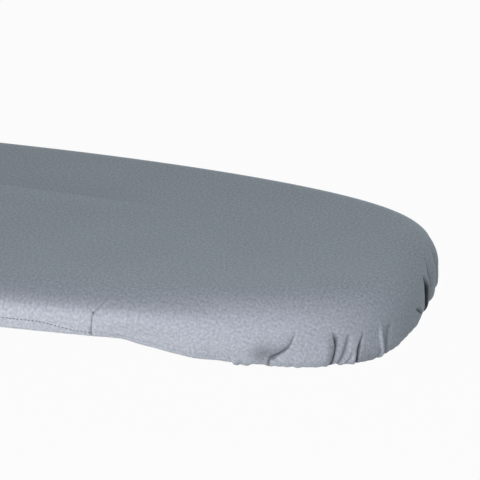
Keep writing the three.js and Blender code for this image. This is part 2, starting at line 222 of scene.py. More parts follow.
WAVE_COUNT, WAVE_HEIGHT, WAVE_RISE = 9, 0.45, (30, 90)
RUFFLE_HEIGHT, RUFFLE_RISE, RUFFLE_FADE = 0.32, (78, 100), (230, 330)
PUCKER_HEIGHT, PUCKER_LEAST, PUCKER_REACH, ELASTIC_FADE = 0.14, 0.1, (20, 2), 40
random = np.random.default_rng(7)
wave_pitch = random.uniform(28, 120, WAVE_COUNT)
wave_phase = random.uniform(0, 2 * math.pi, WAVE_COUNT)
wave_lean = random.uniform(-0.5, 0.5, WAVE_COUNT)


def ripple(s, pitch, sway, swing, shift=0.0):
    """A wave along the outline whose pitch sways."""
    return np.sin(2 * math.pi * s / pitch + sway * np.sin(s / swing + shift))


def wrinkles(s, w):
    """Slow unevenness of the skirt, none on the top, and ruffles low on the nose."""
    total = np.zeros(s.shape)
    for pitch, phase, lean in zip(wave_pitch, wave_phase, wave_lean):
        total += np.sin(2 * math.pi * (s + lean * w) / pitch + phase)
    waves = WAVE_HEIGHT * total / math.sqrt(WAVE_COUNT) * smooth(w, *WAVE_RISE)
    nose = 1 - smooth(np.abs(s), *RUFFLE_FADE)
    ruffle = ripple(s, 17, 2, 31) + ripple(s, 11.3, 2, 19, 1)
    return waves + RUFFLE_HEIGHT * ruffle * nose * smooth(w, *RUFFLE_RISE)


def puckers(s, w, reach):
    """Fine ruffles that the elastic and the hem stitching draw into the last stretch of cloth."""
    q = np.abs(s)
    nose = 1 - smooth(q, NOSE_SEAM - ELASTIC_FADE, NOSE_SEAM)
    elastic = np.maximum(nose, smooth(q, TAIL_SEAM, TAIL_SEAM + ELASTIC_FADE))
    ruffle = ripple(s, 6.1, 2.1, 13) + 0.7 * ripple(s, 9.7, 1.3, 29)
    ruffle = ruffle + 0.6 * np.sin(2 * math.pi * s / 15.3 + 2)
    swell = 0.5 + 0.5 * np.sin(s / 23 + 1.1) * np.sin(s / 41)
    near_edge = smooth(w, reach - PUCKER_REACH[0], reach - PUCKER_REACH[1])
    return PUCKER_HEIGHT * ruffle * swell * near_edge * (PUCKER_LEAST + (1 - PUCKER_LEAST) * elastic)


SMALL_CREASE_DEPTHS, SMALL_CREASE_TOPS, SMALL_CREASE_MIDDLE = (1.0, 3.2), (52, 74), 84
SMALL_CREASE_REACH, SMALL_CREASE_LIP = 30, 0.3


def small_creases(start, end, pitch, widths, seed):
    """Uneven small creases that the elastic draws into the skirt: the line, depth and width of each."""
    draw = np.random.default_rng(seed)
    found = []
    for place in np.arange(start, end, pitch):
        top = place + draw.uniform(-0.4, 0.4) * pitch
        lean = draw.uniform(-9, 9)
        upper = (top, draw.uniform(*SMALL_CREASE_TOPS))
        path = [upper, (top + lean * 0.4, SMALL_CREASE_MIDDLE), (top + lean, FOLD_END)]
        found.append((path, draw.uniform(*SMALL_CREASE_DEPTHS), draw.uniform(*widths)))
    return found


far_creases = small_creases(75, 240, 12.5, (1.4, 2.4), seed=21)
tail_creases = small_creases(TAIL_SEAM + 25, 2 * HALF - TAIL_SEAM - 20, 15.0, (2.4, 3.6), seed=22)


def fine_folds(s, w):
    """The small creases at the far side of the nose and round the tail."""
    d = np.zeros(s.shape)
    for place, creases in ((-s, far_creases), (np.mod(s, 2 * HALF), tail_creases)):
        for path, depth, width in creases:
            close = np.abs(place - path[1][0]) < SMALL_CREASE_REACH
            depths, lip = [0, depth, depth], SMALL_CREASE_LIP * depth
            d[close] += gap(place[close], w[close], path, depths, width, lip)
    return d


# Lines of the folds that the photograph shows: (along the outline, down the section)
LONG_FOLD = [(209, 56), (210.5, 61), (212.5, 68), (214, 73.5),
             (218, 78.5), (226, 83.5), (235, 89), (236.5, 104)]
FRONT_FOLD = [(173, 60), (172.5, 66), (171.2, 77), (173.7, 84), (176.3, 92), (177, 104)]
FRONT_SLIT = [(171.5, 62), (170.3, 71), (171.7, 80), (174.2, 89), (176, 98)]
SOFT_FOLD = [(153.5, 62), (156.5, 77), (158, 82), (163, 92), (166, 100)]
SHORT_FOLD = [(149.5, 82), (153.5, 90), (160, 101)]
LAST_SLIT = [(138, 62), (140.3, 70), (144, 80), (146.5, 89), (144, 100)]
RIDGE = [(117.5, 57), (116.7, 66), (116.5, 80), (114, 98)]
RIDGE_VALLEY = [(104, 58), (105, 68), (108, 77), (110, 86), (110, 98)]
TIP_FOLD = [(1, 50), (-3, 58), (-7, 70), (-10.5, 83), (-12, 104)]
TIP_SLIT = [(5, 47), (-0.5, 58), (-4.5, 70), (-8, 83), (-9.5, 104)]
TIP_CREASE = [(46, 67), (38, 72.5), (27, 79.5), (20, 86)]
DART = [(405, 33.5), (411.3, 40), (416.8, 45.3), (418, 49), (418.6, 54), (420, 68)]

# The line of each lap, its shares along the line, its dip and lobe, their widths, its overhang and its side
LAPS = [
    (LONG_FOLD, [0, 0.25, 0.45, 0.65, 0.9, 1, 0.65, 0.1, 0], 9, 0.8, 17, 14, 4.0, 1),
    (FRONT_FOLD, [0, 0.7, 1, 1, 0.35, 0], 6, 4.0, 8, 24, 2.0, -1),
    (TIP_FOLD, [0, 1, 1, 1, 1], 5, 2.4, 7, 16, 5, 1),
]
# The line of each gap, its depths along the line, its width and the height of its lips
GAPS = [
    (FRONT_SLIT, [0, 1, 5, 4, 0], 1.2, 0.0),
    (FRONT_FOLD, [0, 1.6, 1.6, 1.6, 1.0, 0], 5, 0.0),
    (SOFT_FOLD, [0, 2.2, 2.6, 3.0, 1.5], 2.6, 0.4),
    (SHORT_FOLD, [0, 1.6, 1.0], 1.6, 0.4),
    (LAST_SLIT, [0, 2, 6, 7, 1], 1.3, 0.4),
    (RIDGE_VALLEY, [0, 1.8, 1.8, 1.4, 0.8], 4.5, 0.0),
    (TIP_SLIT, [0, 6, 8, 8, 7], 1.8, 0.0),
    (TIP_CREASE, [0, 3.2, 3.8, 0], 1.6, 0.8),
    (DART, [0, 0.7, 1, 1, 0.8, 0.7], 1.0, 0.2),
]
RIDGE_HEIGHTS, RIDGE_WIDTH = [0, 2.6, 2.6, 1.4], 1.9
# How dark the painted shade along each fold is, its line, how far ahead of the line, the shares along the
# line and the width
FOLD_SHADES = [
    (0.5, LONG_FOLD, 2, [0, 0.3, 0.6, 0.8, 1, 1, 1, 1, 1], 2.0),
    (1.0, FRONT_SLIT, -2.4, [0, 0.6, 1.1, 1.1, 0.8], 1.7),
    (0.25, FRONT_FOLD, 2.5, [0, 0.5, 1, 1, 0.7, 0.5], 3.0),
    (0.45, SOFT_FOLD, 0, [0, 0.5, 0.8, 1, 1.2], 2.4),
    (0.2, SHORT_FOLD, 0, [0, 1, 1], 1.5),
    (1.0, LAST_SLIT, -0.4, [0, 0.5, 0.9, 1, 1], 1.4),
    (0.3, RIDGE_VALLEY, 0, [0, 0.7, 1, 1, 1], 3.0),
    (1.2, TIP_SLIT, -1.5, [0, 1, 1, 1, 1], 3.2),
    (0.8, TIP_CREASE, 0, [0, 0.8, 1, 0.4], 2.0),
    (0.3, DART, 0, [0, 0.5, 1, 1, 1, 1], 1.0),
]
LOOSE_HEIGHT, LOOSE_RISE, LOOSE_FALL, LOOSE_LEVEL, LOOSE_WIDTH = 4.2, (55, 120), (185, 255), 96, 15
KNOT_PLACE, KNOT_LEVEL, KNOT_DEPTH, KNOT_WIDTH = 417.6, 46, 1.8, 1.2
# how dark and how wide the painted shade in the knot's dimple is, and the darkest that the painted fold
# shade goes
KNOT_SHADE, KNOT_SHADE_WIDTH, DARKEST = 0.5, 1.3, 0.97
# patches of painted shade behind the long fold and in front of the last slit: how dark, place, width, level
# and height
LONG_FOLD_SHADE, LAST_SLIT_SHADE = (0.38, 243, 13, 84, 13), (0.25, 132, 18, 94, 9)


def near_folds(s, w):
    """Height and both slips of the folds from the tip of the nose back along the near side."""
    # looser cloth low on the near side of the nose
    d = LOOSE_HEIGHT * between(s, LOOSE_RISE, LOOSE_FALL) * bell(w - LOOSE_LEVEL, LOOSE_WIDTH)
    height, along, down = np.sum([lap(s, w, *values) for values in LAPS], axis=0)
    d += height + ridge(s, w, RIDGE, RIDGE_HEIGHTS, RIDGE_WIDTH)
    for values in GAPS:
        d += gap(s, w, *values)
    # the knot at the end of the dart
    d -= KNOT_DEPTH * bell(np.hypot(s - KNOT_PLACE, w - KNOT_LEVEL), KNOT_WIDTH)
    return d, along, down


# a soft patch of painted shade on the flat cloth
def shade_patch(s, w, dark, place, width, level, height):
    return dark * bell(s - place, width) * bell(w - level, height)


def painted_fold_shade(s, w):
    """How dark the painted shade in the folds, slits, valleys and the dart's knot is, from 0 to 1."""
    dark = np.zeros(s.shape)
    # painted shade along the lines of the folds, slits and the dart
    for share, path, ahead, shares, width in FOLD_SHADES:
        dark += share * ridge(s - ahead, w, path, shares, width)
    # painted shade in the valley behind the long fold and in front of the last slit
    dark += shade_patch(s, w, *LONG_FOLD_SHADE) * smooth(s - soft_line(w, LONG_FOLD), 0, 4)
    dark += shade_patch(s, w, *LAST_SLIT_SHADE)
    # painted shade in the dimple of the dart's knot
    dark += KNOT_SHADE * bell(np.hypot(s - KNOT_PLACE, w - KNOT_LEVEL), KNOT_SHADE_WIDTH)
    return np.clip(dark, 0, DARKEST)


SHOULDER_LENGTHS, SHOULDER_TILTS = (0, 34, 45, 57, 64, 90), (0, 25, 45, 92, 106, 106)
SHOULDER_STEP, SHOULDER_RISE, SHOULDER_FALL = 0.5, (260, 400), (650, 900)


def shoulder_profile():
    """Direction from the roll's centre and distance past its radius of a flat shoulder with a tight edge."""
    lengths = np.arange(0, SHOULDER_LENGTHS[-1], SHOULDER_STEP)
    tilts = np.radians(np.interp(lengths, SHOULDER_LENGTHS, SHOULDER_TILTS))
    across = np.cumsum(np.cos(tilts)) * SHOULDER_STEP
    up = ROLL_RADIUS - np.cumsum(np.sin(tilts)) * SHOULDER_STEP
    return np.arctan2(across, up), np.hypot(across, up) - ROLL_RADIUS


shoulder_angles, shoulder_excess = shoulder_profile()


def shoulder(s, w):
    """The near side behind the nose is fuller than an even roll: its top slopes, then turns down sharply."""
    excess = np.interp(np.clip(w, 0, ROLL) / ROLL_RADIUS, shoulder_angles, shoulder_excess)
    return excess * between(s, SHOULDER_RISE, SHOULDER_FALL)


tail_gathers = sorted(HALF - TAIL_GATHER_START - i * TAIL_GATHER_PITCH for i in range(TAIL_GATHER_COUNT))
TAIL_GATHERS_RISE = (tail_gathers[0] - 60, tail_gathers[0] - 10)
FAR_GATHERS_RISE, FAR_GATHERS_FALL = (-4, 10), (215, 260)
DRAWN_IN, DRAWN_RISE, DRAWN_FALL, DRAWN_REACH = 3, (215, 290), (380, NOSE_SEAM), (-18, 6)
NEAR_FOLDS_START, NEAR_FOLDS_END = -60, 520


def displacement(s, w):
    """How far the cloth stands out from its section, and slips along the outline and down the section."""
    reach = hem_reach(s)
    d = wrinkles(s, w) + puckers(s, w, reach) + fine_folds(s, w) + shoulder(s, w)
    far = between(-s, FAR_GATHERS_RISE, FAR_GATHERS_FALL)
    d += gathers(-s, w, FAR_GATHERS, NOSE_GATHER_DEPTH) * far
    for side in (-1, 1):
        tail = smooth(side * s, *TAIL_GATHERS_RISE)
        d += gathers(side * s, w, tail_gathers, TAIL_GATHER_DEPTH) * tail
    # the elastic draws the hem in where it climbs
    climbing = between(np.abs(s), DRAWN_RISE, DRAWN_FALL)
    d -= DRAWN_IN * climbing * smooth(w, reach + DRAWN_REACH[0], reach + DRAWN_REACH[1])
    near = (s > NEAR_FOLDS_START) & (s < NEAR_FOLDS_END)
    along, down = np.zeros(s.shape), np.zeros(s.shape)
    folds, along[near], down[near] = near_folds(s[near], w[near])
    d[near] += folds
    return d, along, down


def cloth_points(s, w):
    """Points of the displaced cloth's middle."""
    d, along, down = displacement(s, w)
    x, y, ox, oy = station(s + along)
    o, z, out_o, out_z = section(w + down)
    o, z = o + out_o * d, z + out_z * d
    return np.stack([x + ox * o, y + oy * o, z], -1)


# Mesh making

def new_object(name, points, faces, material, smooth_shaded=True):
    mesh = bpy.data.meshes.new(name)
    mesh.from_pydata((np.asarray(points) * MM).tolist(), [], faces)
    mesh.update()
    mesh.validate()
    if smooth_shaded:
        mesh.polygons.foreach_set("use_smooth", [True] * len(mesh.polygons))
    mesh.materials.append(material)
    obj = bpy.data.objects.new(name, mesh)
    bpy.context.scene.collection.objects.link(obj)
    return obj


def belongs(piece, body, node=None):
    """Tie a piece to its body and to the CAD node that it stands for."""
    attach(piece, body)
    if node:
        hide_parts(node)


def add_uv(obj, coordinates):
    """Flat coordinates, in metres, that the weave follows."""
    layer = obj.data.uv_layers.new(name="cloth")
    loops = np.zeros(len(obj.data.loops), np.int32)
    obj.data.loops.foreach_get("vertex_index", loops)
    layer.data.foreach_set("uv", (np.asarray(coordinates)[loops] * MM).astype(np.float32).ravel())


def ring_faces(start, rings, size):
    """Four-cornered faces between closed rings of points that follow each other."""
    faces = []
    for r in range(rings - 1):
        low, high = start + r * size, start + (r + 1) * size
        for k in range(size):
            j = (k + 1) % size
            faces.append([low + k, low + j, high + j, high + k])
    return faces


def tube_faces(start, rings, size):
    """The same, with one face at each end."""
    last = start + (rings - 1) * size
    ends = [list(range(start, start + size))[::-1], list(range(last, last + size))]
    return ring_faces(start, rings, size) + ends


def strip_faces(rings, size):
    """The same for a flat section, with each end closed by faces across it."""
    faces = ring_faces(0, rings, size)
    last = (rings - 1) * size
    for k in range(size // 2 - 1):
        quad = [k, k + 1, size - 2 - k, size - 1 - k]
        faces += [quad[::-1], [last + v for v in quad]]
    return faces


def joined(parts):
    """Several pairs of points and faces as one."""
    points, faces = [], []
    for some_points, some_faces in parts:
        faces += [[v + len(points) for v in face] for face in some_faces]
        points += list(some_points)
    return np.array(points), faces


# Materials

class Tree:
    """A small helper for wiring the nodes of a material or of the world."""

    def __init__(self, owner, clear=False):
        owner.use_nodes = True
        self.tree = owner.node_tree
        if clear:
            self.tree.nodes.clear()

    def put(self, value, socket):
        """Give a socket a constant, or wire another socket to it."""
        if isinstance(value, tuple):
            socket.default_value = (*value, 1) if socket.type == "RGBA" else value
        elif isinstance(value, (int, float)):
            socket.default_value = value
        else:
            self.tree.links.new(value, socket)

    def node(self, kind, inputs=None, **settings):
        made = self.tree.nodes.new(kind)
        for key, value in settings.items():
            setattr(made, key, value)
        for key, value in (inputs or {}).items():
            self.put(value, made.inputs[key])
        return made

    def math(self, operation, a, b):
        return self.node("ShaderNodeMath", {0: a, 1: b}, operation=operation).outputs[0]

    def axes(self, vector):
        return self.node("ShaderNodeSeparateXYZ", {0: vector}).outputs

    def mapped(self, value, start, end, low=0.0, high=1.0, curve="LINEAR"):
        inputs = {"Value": value, "From Min": start, "From Max": end, "To Min": low, "To Max": high}
        return self.node("ShaderNodeMapRange", inputs, interpolation_type=curve).outputs["Result"]

    def blend(self, factor, a, b):
        """A mix of two shaders."""
        return self.node("ShaderNodeMixShader", {"Fac": factor, 1: a.outputs[0], 2: b.outputs[0]})


class Surface(Tree):
    """The nodes of one material, round its main shader."""

    def __init__(self, name, rough, specular, sheen=0.0, metallic=0.0):
        self.material = bpy.data.materials.new(name)
        super().__init__(self.material)
        self.shader = self.tree.nodes["Principled BSDF"]
        self.shader.inputs["Roughness"].default_value = rough
        self.shader.inputs["Specular IOR Level"].default_value = specular
        self.shader.inputs["Sheen Weight"].default_value = sheen
        self.shader.inputs["Metallic"].default_value = metallic

    def flat(self):
        return self.node("ShaderNodeUVMap", uv_map="cloth").outputs["UV"]

    def place(self):
        return self.node("ShaderNodeTexCoord").outputs["Object"]

    def noise(self, vector, scale, detail=2.0, rough=0.5):
        inputs = {"Vector": vector, "Scale": scale, "Detail": detail, "Roughness": rough}
        return self.node("ShaderNodeTexNoise", inputs).outputs["Fac"]

    def wave(self, vector, scale, direction, distortion=0.0):
        inputs = {"Vector": vector, "Scale": scale, "Distortion": distortion, "Detail Scale": 2.0}
        made = self.node("ShaderNodeTexWave", inputs, bands_direction=direction, wave_profile="SIN")
        return made.outputs["Fac"]

    def ramp(self, value, stops):
        made = self.node("ShaderNodeValToRGB", {"Fac": value})
        elements = made.color_ramp.elements
        while len(elements) < len(stops):
            elements.new(0.5)
        for element, (place, color) in zip(elements, stops):
            element.position = place
            element.color = (*color, 1)
        return made.outputs["Color"]

    def mix(self, factor, a, b, blend="MIX"):
        inputs = {0: factor, 6: a, 7: b}
        return self.node("ShaderNodeMix", inputs, data_type="RGBA", blend_type=blend).outputs[2]

    def color(self, source):
        self.put(source, self.shader.inputs["Base Color"])

    def bump(self, height, distance):
        made = self.node("ShaderNodeBump", {"Height": height, "Distance": distance, "Strength": 1.0})
        self.put(made.outputs["Normal"], self.shader.inputs["Normal"])


def shade(color, factor):
    return tuple(c * factor for c in color)


THREAD_SCALE, SPECKLE_SCALE, SLOW_SCALE, WEAVE_DEPTH = 420.0, 350.0, 11.0, 0.00009
# levels of painted light and shade across the packing crease: lighter on its near side, darker just past its
# line
CREASE_LIGHT_LEVELS = [(0.0, 1.0), (0.36, 1.07), (0.4, 0.93), (0.56, 0.95), (1.0, 1.0)]
# where the painted light and shade beside the packing crease begin and end on the flat cloth, in metres
CREASE_NEAR, CREASE_FAR, CREASE_LEAN = 0.0185, 0.1185, 0.04
CREASE_FADE_START, CREASE_FADE_END = 0.22, 0.32


def crease_light_and_shade(m, flat):
    """Half the factor by which painted light and shade brighten and darken the coating beside the packing
    crease.
    """
    axes = m.axes(flat)
    off = m.math("ADD", axes["Y"], m.math("MULTIPLY", axes["X"], CREASE_LEAN))
    across = m.mapped(off, CREASE_NEAR, CREASE_FAR)
    tone = m.ramp(across, [(place, (level * 0.5,) * 3) for place, level in CREASE_LIGHT_LEVELS])
    fade = m.mapped(axes["X"], CREASE_FADE_START, CREASE_FADE_END, curve="SMOOTHSTEP")
    return m.mix(fade, tone, (0.5, 0.5, 0.5))


def woven(name, color, creased=False):
    """Fine plain weave under a thin silvery coating: speckle, crossing threads, slow changes of tone; on the
    creased cloth also painted light and shade beside the packing crease and painted shade in the folds.
    """
    m = Surface(name, 0.75, 0.3, metallic=0.2)
    flat = m.flat()
    over = m.wave(flat, THREAD_SCALE, "X", 0.6)
    under = m.wave(flat, THREAD_SCALE, "Y", 0.6)
    threads = m.math("MULTIPLY", m.math("ADD", over, under), 0.5)
    grain = m.noise(flat, SPECKLE_SCALE, 1.5)
    slow = m.noise(flat, SLOW_SCALE)
    tone = m.ramp(grain, [(0.3, shade(color, 0.7)), (0.5, color), (0.7, shade(color, 1.3))])
    tone = m.mix(0.18, tone, m.ramp(threads, [(0.2, shade(color, 0.8)), (0.8, shade(color, 1.2))]))
    tone = m.mix(0.3, tone, m.ramp(slow, [(0.3, shade(color, 0.93)), (0.7, shade(color, 1.07))]))
    if creased:
        # painted light and shade beside the packing crease
        doubled = m.mix(1.0, crease_light_and_shade(m, flat), (2.0, 2.0, 2.0), "MULTIPLY")
        tone = m.mix(1.0, tone, doubled, "MULTIPLY")
        # painted shade in the folds, read from the cloth's attribute
        fold_shade_mask = m.node("ShaderNodeAttribute", attribute_name="painted_fold_shade")
        tone = m.mix(fold_shade_mask.outputs["Fac"], tone, shade(color, 0.05))
    m.color(tone)
    m.bump(m.math("ADD", m.math("MULTIPLY", threads, 0.4), grain), WEAVE_DEPTH)
    return m.material


def foam_material():
    m = Surface("pad_foam", 0.95, 0.2)
    place = m.place()
    cells = m.node("ShaderNodeTexVoronoi", {"Vector": place, "Scale": 900}, feature="F1")
    slow = m.noise(place, 14, 3)
    tone = m.ramp(cells.outputs["Distance"], [(0.1, (0.62, 0.56, 0.42)), (0.7, (0.83, 0.78, 0.64))])
    m.color(m.mix(m.math("MULTIPLY", slow, 0.4), tone, (0.76, 0.68, 0.5)))
    m.bump(cells.outputs["Distance"], 0.0005)
    return m.material


def felt_material():
    m = Surface("pad_felt", 1.0, 0.1, sheen=0.25)
    place = m.place()
    fibre = m.noise(place, 420, 6, 0.75)
    tuft = m.noise(place, 60, 4, 0.6)
    tone = m.ramp(fibre, [(0.3, (0.5, 0.49, 0.46)), (0.7, (0.72, 0.71, 0.68))])
    m.color(m.mix(m.math("MULTIPLY", tuft, 0.5), tone, (0.64, 0.63, 0.61)))
    m.bump(m.math("ADD", fibre, m.math("MULTIPLY", tuft, 0.8)), 0.0009)
    return m.material


def thread_material(name, color):
    m = Surface(name, 0.7, 0.3, sheen=0.1)
    twist = m.noise(m.place(), 2500)
    m.color(m.ramp(twist, [(0.3, shade(color, 0.8)), (0.7, shade(color, 1.25))]))
    m.bump(twist, 0.0001)
    return m.material


def elastic_material():
    m = Surface("elastic_band", 0.75, 0.3)
    flat = m.flat()
    ribs = m.wave(flat, 160, "Y")
    picks = m.wave(flat, 220, "X")
    weave = m.math("MULTIPLY", m.math("ADD", ribs, picks), 0.5)
    m.color(m.ramp(weave, [(0.2, (0.6, 0.6, 0.58)), (0.8, (0.82, 0.82, 0.8))]))
    m.bump(ribs, 0.0002)
    return m.material


def webbing_material():
    m = Surface("strap_webbing", 0.8, 0.3, sheen=0.15)
    flat = m.flat()
    turned = m.node("ShaderNodeMapping", {"Vector": flat, "Rotation": (0, 0, math.radians(38))})
    twill = m.wave(turned.outputs["Vector"], 210, "X", 0.6)
    rows = m.wave(flat, 170, "Y", 0.3)
    grain = m.noise(flat, 1600, 3)
    weave = m.math("MULTIPLY", m.math("ADD", twill, rows), 0.5)
    tone = m.ramp(weave, [(0.15, (0.36, 0.37, 0.38)), (0.85, (0.6, 0.61, 0.62))])
    m.color(m.mix(m.math("MULTIPLY", grain, 0.35), tone, (0.5, 0.51, 0.52)))
    m.bump(weave, 0.0003)
    return m.material


def tape_material(name, dark, light, scale, rough, sheen):
    m = Surface(name, rough, 0.35, sheen=sheen)
    place = m.place()
    grain = m.noise(place, scale, 4, 0.7)
    slow = m.noise(place, 90)
    m.color(m.mix(m.math("MULTIPLY", slow, 0.4), m.ramp(grain, [(0.3, dark), (0.7, light)]), light))
    m.bump(grain, 0.0004)
    return m.material


COTTON_COLOR = (0.288, 0.326, 0.364)
cotton_look = woven("coated_cotton", COTTON_COLOR, creased=True)
hem_look = woven("hem_tape", shade(COTTON_COLOR, 0.98))
foam_look, felt_look = foam_material(), felt_material()
dark_thread = thread_material("dark_thread", (0.075, 0.08, 0.09))
pale_thread = thread_material("pale_thread", COTTON_COLOR)
elastic_look, webbing_look = elastic_material(), webbing_material()
hook_look = tape_material("hook_tape", (0.1, 0.105, 0.11), (0.2, 0.205, 0.21), 900, 0.45, 0.0)
loop_look = tape_material("loop_tape", (0.15, 0.155, 0.16), (0.3, 0.305, 0.31), 1400, 1.0, 0.4)

# Cover cloth

FACE_OUT, FACE_IN = CLOTH / 2, -0.2
# shares of the way from the roll to the spine at which the top has its rings
TOP_SHARES = [0.02, 0.05, 0.1, 0.2, 0.34, 0.5, 0.6, 0.66, 0.7, 0.718, 0.727, 0.736, 0.754, 0.8, 0.88]
SPINE_NOSE, SPINE_TAIL = 415.0, -400.0
CREASE_SHARE, CREASE_HEIGHT, CREASE_REACH = 0.727, 0.55, 24.0
CREASE_RISE, CREASE_FALL = (SPINE_TAIL, SPINE_TAIL + 80), (230, 310)
# start, end and step of the columns of points, close together where the cloth is folded
COLUMN_STEPS = [
    (0, 60, 0.7), (60, 100, 1.2), (100, 245, 0.7), (245, 400, 1.6), (400, 425, 0.6),
    (425, 520, 2.0), (520, 680, 3.0), (680, TAIL_SEAM, 9.0), (TAIL_SEAM, HALF, 1.8),
]
# start, end and number of the rings of the skirt, as shares of the way to the cut edge
RING_STEPS = [(0, 0.24, 9), (0.24, 0.75, 46), (0.75, 1, 13)]


def spine_of(flat):
    """The nearest places on the line along the middle of the top."""
    return np.stack([np.clip(flat[:, 0], SPINE_TAIL, SPINE_NOSE), np.zeros(len(flat))], 1)


def crease(ring, share):
    """Height of the packing crease that runs lengthwise along the far half of the top."""
    off = abs(share - CREASE_SHARE) * COVER_WIDTH / 2
    height = CREASE_HEIGHT * max(0.0, 1 - off / CREASE_REACH) ** 1.5
    return height * between(ring[:, 0], CREASE_RISE, CREASE_FALL) * (ring[:, 1] > 0)


def stops(steps):
    """Evenly spaced places in each stretch of (start, end, count), and the end of the last."""
    found = [np.linspace(start, end, count, endpoint=False) for start, end, count in steps]
    return np.concatenate([*found, [steps[-1][1]]])


def grid_normals(points):
    """Unit normals of a grid of points whose columns go all the way round."""
    along = np.roll(points, -1, 0) - np.roll(points, 1, 0)
    return unit(np.cross(along, np.gradient(points, axis=1)))


near_columns = stops([(a, b, max(2, round((b - a) / step))) for a, b, step in COLUMN_STEPS])
columns = np.concatenate([-near_columns[-2:0:-1], near_columns])
ring_shares = stops(RING_STEPS)


def cover_cloth():
    """A closed sheet of two faces, each of rings on the skirt and the top, joined at the cut edge."""
    s, share = np.meshgrid(columns, ring_shares, indexing="ij")
    w = share * hem_reach(s)
    middle = cloth_points(s, w)
    normal = grid_normals(middle)
    normal[:, 0] = (0, 0, 1)
    count, rings = len(columns), len(ring_shares)
    _, _, ox, oy = station(columns)
    top_flat = middle[:, 0, :2]
    skirt_flat = top_flat[:, None] + np.stack([ox, oy], 1)[:, None] * w[..., None]
    spine = spine_of(top_flat)
    spine_key = {}
    spine_index = np.array([spine_key.setdefault(round(x, 4), len(spine_key)) for x in spine[:, 0]])
    spine_x = np.array(list(spine_key))
    spine_flat = np.column_stack([spine_x, np.zeros(len(spine_x))])
    # painted shade of the folds on the skirt; none on the top
    skirt_fold_shade = painted_fold_shade(s, w).T.ravel()
    top_fold_shade = np.zeros(len(TOP_SHARES) * count + len(spine_x))
    points, flats, tones, faces, edges = [], [], [], [], []
    at = 0
    for offset in (FACE_OUT, FACE_IN):
        level = CLOTH_MIDDLE + offset
        points.append((middle + normal * offset).transpose(1, 0, 2).reshape(-1, 3))
        flats.append(skirt_flat.transpose(1, 0, 2).reshape(-1, 2))
        tones += [skirt_fold_shade, top_fold_shade]
        skirt = [np.arange(count) + at + r * count for r in range(rings)]
        edges.append(skirt[-1])
        at += rings * count
        top = []
        for top_share in TOP_SHARES:
            ring = top_flat + (spine - top_flat) * top_share
            points.append(np.column_stack([ring, level + crease(ring, top_share)]))
            flats.append(ring)
            top.append(np.arange(count) + at)
            at += count
        points.append(np.column_stack([spine_flat, np.full(len(spine_x), level)]))
        flats.append(spine_flat)
        top.append(spine_index + at)
        at += len(spine_x)
        stack = top[::-1] + skirt
        for upper, lower in zip(stack, stack[1:]):
            for j in range(count):
                k = (j + 1) % count
                face = [int(upper[j]), int(upper[k]), int(lower[k]), int(lower[j])]
                face = list(dict.fromkeys(face))
                faces.append(face if offset == FACE_OUT else face[::-1])
    outer, inner = edges
    for j in range(count):
        k = (j + 1) % count
        faces.append([int(outer[j]), int(outer[k]), int(inner[k]), int(inner[j])])
    obj = new_object("cover_cloth", np.vstack(points), faces, cotton_look)
    add_uv(obj, np.vstack(flats))
    # the painted fold shade, as a point attribute that the cotton material reads
    layer = obj.data.attributes.new("painted_fold_shade", "FLOAT", "POINT")
    layer.data.foreach_set("value", np.concatenate(tones).astype(np.float32))
    return obj


cover = cover_cloth()
belongs(cover, "cover", "cover_shell")

# Hem: the binding of each length, its stitches and the elastic

EDGE_STEP = 3.0
STITCH_PITCH, STITCH_LENGTH, STITCH_RADIUS, STITCH_SUNK, STITCH_SIDES = 4.0, 2.2, 0.4, 0.35, 6
STITCH_PROFILE = [(0.0, 0.35), (0.12, 1.0), (0.88, 1.0), (1.0, 0.35)]
STITCH_MARGIN, SEAM_LOW, SEAM_CLIMB, SEAM_RUN, SEAM_TOP_RISE = 2, 2.2, 7.4, 65, 0.95
ELASTIC_STEP, ELASTIC_BEVEL, ELASTIC_EDGE = 2.4, 0.3, 0.2


def along_hem(s, past):
    """Step along the line that lies past the cut edge by a distance."""
    ahead = cloth_points(s + 0.5, hem_reach(s + 0.5) + past)
    return ahead - cloth_points(s - 0.5, hem_reach(s - 0.5) + past)


def by_the_hem(s, past):
    """Place and outward direction past the cut edge by a distance, which is negative on the cloth."""
    at = cloth_points(s, hem_reach(s) + past)
    step = cloth_points(s, hem_reach(s) + past + 1) - at
    return at, unit(np.cross(along_hem(s, past), step))


def hem_points(s, corners):
    """Points of a section along the hem; corners are (past the cut edge, height over the cloth's middle)."""
    edge = cloth_points(s, hem_reach(s))
    past = unit(edge - cloth_points(s, hem_reach(s) - EDGE_STEP))
    outward = unit(np.cross(along_hem(s, 0), past))
    rows = []
    for t, n in corners:
        if t < 0:
            at, normal = by_the_hem(s, t)
            rows.append(at + normal * n)
        else:
            rows.append(edge + past * t + outward * n)
    return np.stack(rows, 1)


def hem_strip(name, s, corners, across, middle, look):
    """A closed strip along the hem; the corner with the number middle measures its length."""
    points = hem_points(s, corners)
    faces = [[a, d, c, b] for a, b, c, d in strip_faces(len(s), len(corners))]
    piece = new_object(name, points.reshape(-1, 3), faces, look)
    run = running_length(points[:, middle])
    add_uv(piece, np.stack(np.meshgrid(run, across, indexing="ij"), -1).reshape(-1, 2))
    return piece


def hem_stations(start, end, step):
    """Places from seam to seam; a length that goes round the tail wraps at its middle."""
    if end < start:
        end += 2 * HALF
    s = np.linspace(start + SEWN_GAP / 2, end - SEWN_GAP / 2, round((end - start) / step))
    return np.where(s > HALF, s - 2 * HALF, s)


